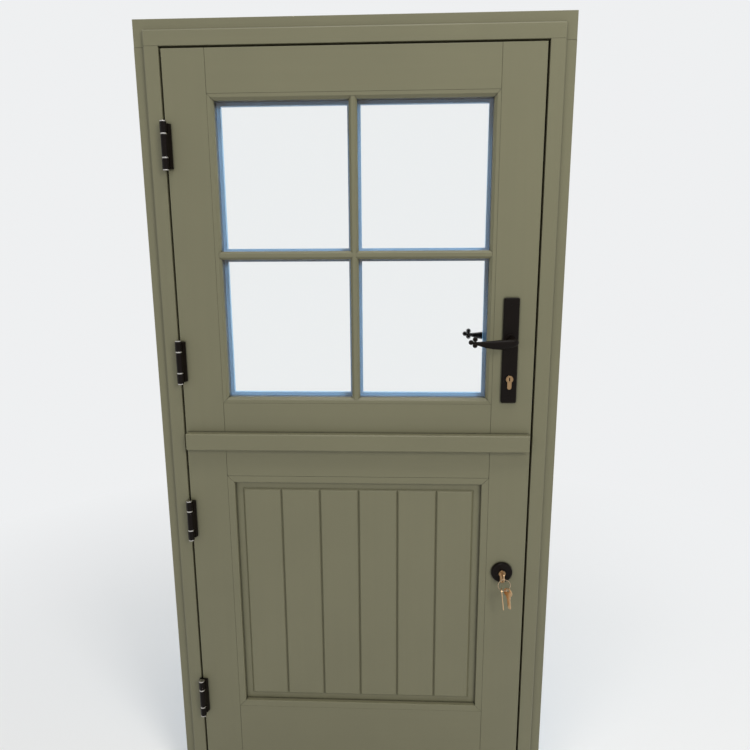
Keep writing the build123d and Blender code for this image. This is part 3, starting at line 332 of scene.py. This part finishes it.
seal_covers = 0.0095
frame_colours_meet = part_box("frame_seal")[1][1] - seal_covers
jamb_paint = satin_paint("jamb_satin_paint", marks_up, frame_colours_meet,
                         primed=primed_sides)
head_paint = satin_paint("head_satin_paint", marks_level, frame_colours_meet,
                         primed=primed_sides)
for name, paint in (("hinge_jamb", jamb_paint), ("lock_jamb", jamb_paint),
                    ("frame_head", head_paint)):
    eased(name, frame_ease).data.materials.append(paint)


# Sill: a hardwood threshold under the leaves with an upstand behind them and a slope that
# sheds water outside, painted like the rest of the frame.
sill_paint = satin_paint("sill_satin_paint", marks_level, frame_colours_meet)
eased("frame_sill", frame_ease).data.materials.append(sill_paint)


# Seal: a black rubber strip pressed into the groove of the stops, round both jambs and
# the head. It has a matt moulded skin.
usual_grain = 900.0
usual_mirror = 0.5
roughness_spread = 0.08
grain_relief_deep = 0.0002
cloud_scale = 45.0
seal_ease = 0.0005


def fine_grain():
    """A fine grain in gloss and relief, with a cloudy tone."""
    tree, given, out = group("fine_grain", [
        ("Vector", "NodeSocketVector", None),
        ("Grain", "NodeSocketFloat", usual_grain),
        ("Dark", "NodeSocketColor", None),
        ("Light", "NodeSocketColor", None),
        ("Roughness Low", "NodeSocketFloat", None),
        ("Roughness Swing", "NodeSocketFloat", None),
    ], [("Color", "NodeSocketColor"), ("Roughness", "NodeSocketFloat"),
        ("Height", "NodeSocketFloat")])
    grains = node(tree, "ShaderNodeTexNoise", **fine_noise)
    tree.links.new(given.outputs["Vector"], grains.inputs["Vector"])
    tree.links.new(given.outputs["Grain"], grains.inputs["Scale"])
    cloud = node(tree, "ShaderNodeTexNoise", Scale=cloud_scale, **broad_noise)
    tree.links.new(given.outputs["Vector"], cloud.inputs["Vector"])
    tint = node(tree, "ShaderNodeMix", data_type="RGBA")
    tree.links.new(cloud.outputs["Fac"], tint.inputs["Factor"])
    tree.links.new(given.outputs["Dark"], tint.inputs["A"])
    tree.links.new(given.outputs["Light"], tint.inputs["B"])
    tree.links.new(tint.outputs["Result"], out.inputs["Color"])
    swung = calc(tree, "MULTIPLY", grains.outputs["Fac"], given.outputs["Roughness Swing"])
    tree.links.new(calc(tree, "ADD", swung, given.outputs["Roughness Low"]),
                   out.inputs["Roughness"])
    tree.links.new(grains.outputs["Fac"], out.inputs["Height"])
    return tree


grain_tree = fine_grain()


def plain_finish(name, colour, roughness, metal=0.0, grain=usual_grain, relief=0.12,
                 mirror=usual_mirror):
    """A moulded or metal finish with a fine grain in colour, gloss and relief."""
    made, tree, shader, place = material(name)
    skin = tree.nodes.new("ShaderNodeGroup")
    skin.node_tree = grain_tree
    for label, value in (("Grain", grain),
                         ("Dark", (*[c * (1 - tone_swing) for c in colour], 1)),
                         ("Light", (*[c * (1 + tone_swing) for c in colour], 1)),
                         ("Roughness Low", roughness - roughness_spread),
                         ("Roughness Swing", roughness_spread * 2)):
        skin.inputs[label].default_value = value
    tree.links.new(place, skin.inputs["Vector"])
    tree.links.new(skin.outputs["Color"], shader.inputs["Base Color"])
    tree.links.new(skin.outputs["Roughness"], shader.inputs["Roughness"])
    shader.inputs["Metallic"].default_value = metal
    shader.inputs["Specular IOR Level"].default_value = mirror
    bump = node(tree, "ShaderNodeBump", Strength=relief, Distance=grain_relief_deep)
    tree.links.new(skin.outputs["Height"], bump.inputs["Height"])
    tree.links.new(bump.outputs["Normal"], shader.inputs["Normal"])
    return made


seal_rubber = plain_finish("seal_rubber", colour=(0.018, 0.018, 0.018), roughness=0.62,
                           grain=1400.0)
eased("frame_seal", seal_ease).data.materials.append(seal_rubber)


# Leaves: stiles and rails, mortised and tenoned, in the same paint as the frame. The
# marks run with the grain: up the stiles and along the rails.
leaf_ease = 0.0010
paint_over_glass = 0.0005
leaf_colours_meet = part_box("outer_pane")[1][1] - paint_over_glass
stile_paint = satin_paint("stile_satin_paint", marks_up, leaf_colours_meet)
rail_paint = satin_paint("rail_satin_paint", marks_level, leaf_colours_meet)
for name in ("upper_hinge_stile", "upper_lock_stile", "lower_hinge_stile",
             "lower_lock_stile"):
    eased(name, leaf_ease).data.materials.append(stile_paint)
for name in ("upper_top_rail", "upper_bottom_rail", "lower_top_rail", "lower_bottom_rail"):
    eased(name, leaf_ease).data.materials.append(rail_paint)


# Glazing: mitred beads hold a sealed double pane against the outer lip, and narrow bars
# on both faces of the glass divide it in four. A metal spacer keeps the panes apart.
bead_ease = 0.0002
for name, paint in (("inner_glazing_beads", rail_paint), ("inner_upright_bar", stile_paint),
                    ("inner_level_bars", rail_paint), ("outer_glazing_bars", stile_paint)):
    eased(name, bead_ease).data.materials.append(paint)

spacer_ease = 0.0003
spacer_metal = plain_finish("spacer_metal", colour=(0.42, 0.43, 0.44), roughness=0.35,
                            metal=1.0)
eased("glass_spacer", spacer_ease).data.materials.append(spacer_metal)

glass_tint = (0.985, 0.992, 0.99, 1)
glass_shadow_tint = (0.985, 0.99, 0.988, 1)
glass_ior = 1.5
smear_scale = 7.0
smear_roughness = 0.02
smear_noise = {"Detail": 4.0, "Roughness": 0.7}
clear_glass, glass_tree, glass_shader, glass_place = material("clear_glass")
light_through = node(glass_tree, "ShaderNodeBsdfTransparent", Color=glass_shadow_tint)
glass_rays = glass_tree.nodes.new("ShaderNodeLightPath")
glass_mix = glass_tree.nodes.new("ShaderNodeMixShader")
glass_tree.links.new(glass_rays.outputs["Is Shadow Ray"], glass_mix.inputs["Fac"])
glass_tree.links.new(glass_shader.outputs["BSDF"], glass_mix.inputs[1])
glass_tree.links.new(light_through.outputs[0], glass_mix.inputs[2])
glass_tree.links.new(glass_mix.outputs[0], surface(glass_tree))
glass_shader.inputs["Base Color"].default_value = glass_tint
glass_shader.inputs["Transmission Weight"].default_value = 1.0
glass_shader.inputs["IOR"].default_value = glass_ior
smears = node(glass_tree, "ShaderNodeTexNoise", Scale=smear_scale, **smear_noise)
glass_tree.links.new(glass_place, smears.inputs["Vector"])
glass_tree.links.new(calc(glass_tree, "MULTIPLY", smears.outputs["Fac"], smear_roughness),
                     glass_shader.inputs["Roughness"])
for name in ("inner_pane", "outer_pane"):
    eased(name, 0.0).data.materials.append(clear_glass)


# Raised panel: one solid board ploughed with V joints, its field standing up from the
# border, held by mitred beads and painted like the leaf.
panel_front, panel_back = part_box("raised_panel")[0][1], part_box("raised_panel")[1][1]
panel_ease = 0.0005
panel_paint = satin_paint("panel_satin_paint", marks_up, (panel_front + panel_back) / 2)
eased("raised_panel", panel_ease).data.materials.append(panel_paint)
eased("panel_beads", bead_ease).data.materials.append(rail_paint)


# Meeting strip: a square batten over the joint between the leaves, fixed to the foot of
# the upper one. Its corners are rounded more than those of the rails.
strip_ease = 0.0018
eased("meeting_strip", strip_ease, segments=3).data.materials.append(rail_paint)


# Hinges: dark steel plates let into jamb and leaf, with a rolled barrel, a bright pin and
# bright washers between the knuckles.
soft_black = (0.006, 0.004, 0.003)
black_mirror = 0.10
hinge_plate_ease = 0.0005
hinge_pin_ease = 0.0006
washer_ease = 0.0003
hinge_black = plain_finish("hinge_black", colour=soft_black, roughness=0.32, grain=700.0,
                           relief=0.08, mirror=black_mirror)
bright_steel = plain_finish("bright_steel", colour=(0.50, 0.48, 0.45), roughness=0.30,
                            metal=1.0, grain=1600.0, relief=0.05)
for leaf in ("upper_leaf_top", "upper_leaf_lower", "lower_leaf_top", "lower_leaf_lower"):
    for half in ("frame", "leaf"):
        eased(f"{leaf}_hinge_{half}_plate",
              hinge_plate_ease).data.materials.append(hinge_black)
eased("hinge_pins", hinge_pin_ease, segments=3).data.materials.append(bright_steel)
eased("hinge_washers", washer_ease).data.materials.append(bright_steel)


# Locks: mortise cases behind long steel plates in the leaf's edge, steel bolts, and keeps
# let into the jamb.
lock_ease = 0.0003
brushed_steel = plain_finish("brushed_steel", colour=(0.52, 0.52, 0.50), roughness=0.34,
                             metal=1.0, relief=0.10)
for name in ("upper_lock_case", "lower_lock_case", "upper_lock_plate", "upper_keeps",
             "lower_keep", "latch_bolt", "hook_bolt", "upper_deadbolt", "lower_deadbolt",
             "lever_spindle"):
    eased(name, lock_ease).data.materials.append(brushed_steel)


# Screws: countersunk cross-head screws, three in each hinge plate, two in each keep and a
# row in each lock plate. The heads lie flush, and no two are turned alike.
screw_steel = plain_finish("screw_steel", colour=(0.48, 0.47, 0.45), roughness=0.32,
                           metal=1.0, grain=1400.0, relief=0.06)
head_radius = 0.0036
head_deep = 0.0008
head_foot_share = 0.8
recess_reach = 0.0021
recess_half = 0.00045
recess_deep = 0.0012
recess_floor_share = 0.55
hinge_screw_size = 1.15
lock_screw_size = 1.0


def screw_head():
    """One head with a cross recess. Its face is at the origin and looks along +Z."""
    cross = []
    for quarter in range(4):
        turn = Matrix.Rotation(quarter * math.pi / 2, 3, "Z")
        for x, y in ((recess_reach, -recess_half), (recess_reach, recess_half),
                     (recess_half, recess_half)):
            cross.append(turn @ Vector((x, y, 0)))
    shape = bmesh.new()
    rim, foot, mouth, ground = [], [], [], []
    for corner in cross:
        out = corner.normalized()
        rim.append(shape.verts.new(out * head_radius))
        foot.append(shape.verts.new(out * head_radius * head_foot_share -
                                    Vector((0, 0, head_deep))))
        mouth.append(shape.verts.new(corner))
        ground.append(shape.verts.new(corner * recess_floor_share -
                                      Vector((0, 0, recess_deep))))
    for place in range(len(cross)):
        after = (place + 1) % len(cross)
        shape.faces.new((rim[place], rim[after], mouth[after], mouth[place]))
        shape.faces.new((mouth[place], mouth[after], ground[after], ground[place]))
        shape.faces.new((foot[place], foot[after], rim[after], rim[place]))
    shape.faces.new(ground)
    shape.faces.new(list(reversed(foot)))
    bmesh.ops.recalc_face_normals(shape, faces=shape.faces)
    mesh = bpy.data.meshes.new("screw_head")
    shape.to_mesh(mesh)
    shape.free()
    return bpy.data.objects.new("screw_head", mesh)


def screws_on_places():
    """A tree that sets a head on each point, turned by the point's own turn and spun."""
    tree = bpy.data.node_groups.new("screws_on_places", "GeometryNodeTree")
    for label, kind in (("Geometry", "NodeSocketGeometry"), ("Head", "NodeSocketObject"),
                        ("Size", "NodeSocketFloat"), ("Seed", "NodeSocketInt"),
                        ("Finish", "NodeSocketMaterial")):
        tree.interface.new_socket(label, in_out="INPUT", socket_type=kind)
    tree.interface.new_socket("Geometry", in_out="OUTPUT", socket_type="NodeSocketGeometry")
    given, out = tree.nodes.new("NodeGroupInput"), tree.nodes.new("NodeGroupOutput")
    points = tree.nodes.new("GeometryNodeMeshToPoints")
    tree.links.new(given.outputs["Geometry"], points.inputs["Mesh"])
    head = tree.nodes.new("GeometryNodeObjectInfo")
    tree.links.new(given.outputs["Head"], head.inputs["Object"])
    turn = tree.nodes.new("GeometryNodeInputNamedAttribute")
    turn.data_type = "FLOAT_VECTOR"
    turn.inputs["Name"].default_value = "turn"
    facing = tree.nodes.new("FunctionNodeEulerToRotation")
    tree.links.new(turn.outputs["Attribute"], facing.inputs[0])
    spin = tree.nodes.new("FunctionNodeRandomValue")
    spin.data_type = "FLOAT"
    spin.inputs[3].default_value = math.pi  # the most that a head is spun
    tree.links.new(given.outputs["Seed"], spin.inputs["Seed"])
    spun = tree.nodes.new("FunctionNodeAxisAngleToRotation")
    spun.inputs["Axis"].default_value = (0, 0, 1)
    tree.links.new(spin.outputs[1], spun.inputs["Angle"])
    placed = tree.nodes.new("FunctionNodeRotateRotation")
    placed.rotation_space = "LOCAL"
    tree.links.new(facing.outputs[0], placed.inputs[0])
    tree.links.new(spun.outputs[0], placed.inputs[1])
    copies = tree.nodes.new("GeometryNodeInstanceOnPoints")
    tree.links.new(points.outputs[0], copies.inputs["Points"])
    tree.links.new(head.outputs["Geometry"], copies.inputs["Instance"])
    tree.links.new(placed.outputs[0], copies.inputs["Rotation"])
    tree.links.new(given.outputs["Size"], copies.inputs["Scale"])
    solid = tree.nodes.new("GeometryNodeRealizeInstances")
    tree.links.new(copies.outputs[0], solid.inputs[0])
    finished = tree.nodes.new("GeometryNodeSetMaterial")
    tree.links.new(solid.outputs[0], finished.inputs["Geometry"])
    tree.links.new(given.outputs["Finish"], finished.inputs["Material"])
    tree.links.new(finished.outputs[0], out.inputs["Geometry"])
    return tree


def screw_set(name, body, places, size, finish, seed):
    """One mesh of screws for a body. places holds a point and the way along X it faces."""
    mesh = bpy.data.meshes.new(name + "_places")
    mesh.from_pydata([place for place, facing in places], [], [])
    turns = mesh.attributes.new("turn", "FLOAT_VECTOR", "POINT")
    for entry, (place, facing) in zip(turns.data, places):
        entry.vector = (0, facing * math.pi / 2, 0)
    holder = bpy.data.objects.new(name + "_places", mesh)
    scene.collection.objects.link(holder)
    setting = holder.modifiers.new("screws", "NODES")
    setting.node_group = screw_tree
    values = {"Head": head_model, "Size": size, "Seed": seed, "Finish": finish}
    for socket in screw_tree.interface.items_tree:
        if socket.in_out == "INPUT" and socket.name in values:
            setting[socket.identifier] = values[socket.name]
    bpy.context.view_layer.update()
    seen_now = holder.evaluated_get(bpy.context.evaluated_depsgraph_get())
    piece = bpy.data.objects.new(name, bpy.data.meshes.new_from_object(seen_now))
    bpy.data.objects.remove(holder)
    scene.collection.objects.link(piece)
    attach(piece, body)


head_model = screw_head()
scene.collection.objects.link(head_model)
screw_tree = screws_on_places()
screw_proud = 0.00015
edge_middle = (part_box("upper_lock_plate")[0][1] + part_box("upper_lock_plate")[1][1]) / 2
hinge_screw_y = -0.0275
hinge_screw_step = 0.034
jamb_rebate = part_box("upper_keeps")[0][0]
leaf_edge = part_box("upper_lock_plate")[1][0]


def hinge_places(leaf, x, facing):
    """Three places in each of a leaf's hinges, on a plate whose face is at x."""
    places = []
    for hinge in ("top", "lower"):
        low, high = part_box(f"{leaf}_{hinge}_hinge_leaf_plate")
        for step in (-1, 0, 1):
            z = (low[2] + high[2]) / 2 + step * hinge_screw_step
            places.append(((x + facing * screw_proud, hinge_screw_y, z), facing))
    return places


def edge_places(x, facing, heights):
    """Places at these heights on the middle line of a plate whose face is at x."""
    return [((x + facing * screw_proud, edge_middle, z), facing) for z in heights]


keep_screws = (0.6705, 0.7205, 1.089, 1.231, 1.6285, 1.711)
upper_plate_screws = (1.076, 1.165, 1.300, 1.440, 1.600, 1.735, 1.816)
lower_plate_screws = (0.6125, 0.7825)
screw_set("hinge_frame_screws", "frame",
          hinge_places("upper_leaf", -jamb_rebate, 1) +
          hinge_places("lower_leaf", -jamb_rebate, 1),
          hinge_screw_size, hinge_black, seed=3)
screw_set("keep_screws", "frame", edge_places(jamb_rebate, -1, keep_screws),
          lock_screw_size, screw_steel, seed=5)
screw_set("upper_hinge_screws", "upper_leaf",
          hinge_places("upper_leaf", -leaf_edge, -1),
          hinge_screw_size, hinge_black, seed=7)
screw_set("lower_hinge_screws", "lower_leaf",
          hinge_places("lower_leaf", -leaf_edge, -1),
          hinge_screw_size, hinge_black, seed=9)
screw_set("upper_lock_screws", "upper_leaf",
          edge_places(leaf_edge, 1, upper_plate_screws),
          lock_screw_size, screw_steel, seed=11)
screw_set("lower_lock_screws", "lower_leaf",
          edge_places(leaf_edge, 1, lower_plate_screws),
          lock_screw_size, screw_steel, seed=13)
bpy.data.objects.remove(head_model)


# Cylinders: brass profile cylinders that pass through leaf and lock case, each with a
# plug that turns on both sides and a keyway in it.
cylinder_ease = 0.0003
cylinder_brass = plain_finish("cylinder_brass", colour=(0.36, 0.23, 0.12),
                              roughness=0.30, metal=1.0, grain=1500.0, relief=0.06)
for leaf in ("upper", "lower"):
    for name in ("body", "plug", "outer_plug"):
        eased(f"{leaf}_cylinder_{name}",
              cylinder_ease).data.materials.append(cylinder_brass)


# Lever furniture: cast levers on long plates, and round covers on the lower leaf, in a
# soft satin black that is sprayed on.
satin_black = plain_finish("satin_black", colour=soft_black, roughness=0.34, grain=600.0,
                           relief=0.10, mirror=black_mirror)
furniture_ease = 0.0005
for name in ("inner_handle_plate", "outer_handle_plate", "inner_lever", "outer_lever",
             "inner_escutcheon", "outer_escutcheon", "handle_screws"):
    round_already = name.endswith("lever")
    eased(name, 0.0 if round_already else furniture_ease).data.materials.append(satin_black)


# Keys: stamped brass keys, worn bright. One stands in the lower lock, and two hang from
# its bow on a ring of bent steel wire.
key_brass = plain_finish("key_brass", colour=(0.62, 0.42, 0.24), roughness=0.28,
                         metal=1.0, grain=1200.0, relief=0.08)
ring_steel = plain_finish("ring_steel", colour=(0.50, 0.38, 0.26), roughness=0.25,
                          metal=1.0, grain=1500.0, relief=0.04)
key_ease = 0.0002
for name, finish in (("door_key", key_brass), ("spare_keys", key_brass),
                     ("key_ring", ring_steel)):
    eased(name, key_ease).data.materials.append(finish)


# Floor and light of the studio: a pale floor that runs into the backdrop, a soft lamp on
# the right above the head, a weak one on the left, one overhead, two outside, and an even
# surround.
backdrop_tone = (0.86, 0.87, 0.88, 1)
floor_tone = (0.86, 0.86, 0.85, 1)
floor_roughness = 0.85
floor_half = 8.0
fade_start, fade_end = 0.6, 2.6
surround_tone = (0.95, 0.97, 1.0, 1)
surround_strength = 0.38
warm_white = (1.0, 0.98, 0.95)
soft_white = (1.0, 0.98, 0.96)
daylight = (0.95, 0.98, 1.0)


def seen_rays(tree):
    """1 where the camera looks, also in a mirror or through glass."""
    rays = tree.nodes.new("ShaderNodeLightPath")
    return calc(tree, "MAXIMUM", rays.outputs["Is Camera Ray"],
                calc(tree, "MAXIMUM", rays.outputs["Is Glossy Ray"],
                     rays.outputs["Is Transmission Ray"]))


floor_mesh = bpy.data.meshes.new("floor")
floor_mesh.from_pydata([(-floor_half, -floor_half, 0), (floor_half, -floor_half, 0),
                        (floor_half, floor_half, 0), (-floor_half, floor_half, 0)],
                       [], [(0, 1, 2, 3)])
floor = bpy.data.objects.new("floor", floor_mesh)
scene.collection.objects.link(floor)
floor_finish, floor_tree, floor_shader, floor_place = material("pale_floor")
floor_shader.inputs["Base Color"].default_value = floor_tone
floor_shader.inputs["Roughness"].default_value = floor_roughness
far = floor_tree.nodes.new("ShaderNodeVectorMath")
far.operation = "LENGTH"
floor_tree.links.new(floor_place, far.inputs[0])
fade = node(floor_tree, "ShaderNodeMapRange", From_Min=fade_start, From_Max=fade_end)
floor_tree.links.new(far.outputs["Value"], fade.inputs["Value"])
distance_glow = node(floor_tree, "ShaderNodeEmission", Color=backdrop_tone, Strength=1.0)
floor_mix = floor_tree.nodes.new("ShaderNodeMixShader")
floor_tree.links.new(calc(floor_tree, "MULTIPLY", fade.outputs["Result"],
                          seen_rays(floor_tree)), floor_mix.inputs["Fac"])
floor_tree.links.new(floor_shader.outputs["BSDF"], floor_mix.inputs[1])
floor_tree.links.new(distance_glow.outputs[0], floor_mix.inputs[2])
floor_tree.links.new(floor_mix.outputs[0], surface(floor_tree))
floor_mesh.materials.append(floor_finish)

studio = bpy.data.worlds.new("studio")
scene.world = studio
studio.use_nodes = True
air = studio.node_tree
air.nodes.clear()
surround = node(air, "ShaderNodeBackground", Color=surround_tone,
                Strength=surround_strength)
backdrop = node(air, "ShaderNodeBackground", Color=backdrop_tone, Strength=1.0)
choice = air.nodes.new("ShaderNodeMixShader")
air_out = air.nodes.new("ShaderNodeOutputWorld")
air.links.new(seen_rays(air), choice.inputs["Fac"])
air.links.new(surround.outputs[0], choice.inputs[1])
air.links.new(backdrop.outputs[0], choice.inputs[2])
air.links.new(choice.outputs[0], air_out.inputs["Surface"])


def soft_lamp(name, place, target, size, watts, colour, mirrored=False):
    """A soft lamp turned to its target. Glass and metal show its shape only if mirrored."""
    lamp = bpy.data.lights.new(name, "AREA")
    lamp.shape = "RECTANGLE"
    lamp.size, lamp.size_y = size
    lamp.energy = watts
    lamp.color = colour
    holder = bpy.data.objects.new(name, lamp)
    scene.collection.objects.link(holder)
    holder.location = place
    aim = Vector(target) - Vector(place)
    holder.rotation_euler = aim.to_track_quat("-Z", "Y").to_euler()
    holder.visible_transmission = False
    holder.visible_camera = False
    holder.visible_glossy = mirrored


soft_lamp("main_lamp", place=(1.6, -2.4, 2.4), target=(0.1, 0, 0.5), size=(0.9, 0.9),
          watts=38.0, colour=warm_white)
soft_lamp("fill_lamp", place=(-1.9, -2.6, 1.6), target=(0, 0, 0.5), size=(1.2, 0.8),
          watts=12.0, colour=soft_white)
soft_lamp("top_lamp", place=(0.2, -1.2, 4.2), target=(0.2, -0.6, 0), size=(1.8, 0.7),
          watts=41.0, colour=warm_white, mirrored=True)
soft_lamp("outer_lamp", place=(2.9, 2.6, 2.4), target=(0, 0, 1.2), size=(2.2, 2.0),
          watts=60.0, colour=daylight)
soft_lamp("outer_fill", place=(-2.9, 2.6, 2.4), target=(0, 0, 1.2), size=(2.2, 2.0),
          watts=36.0, colour=daylight)
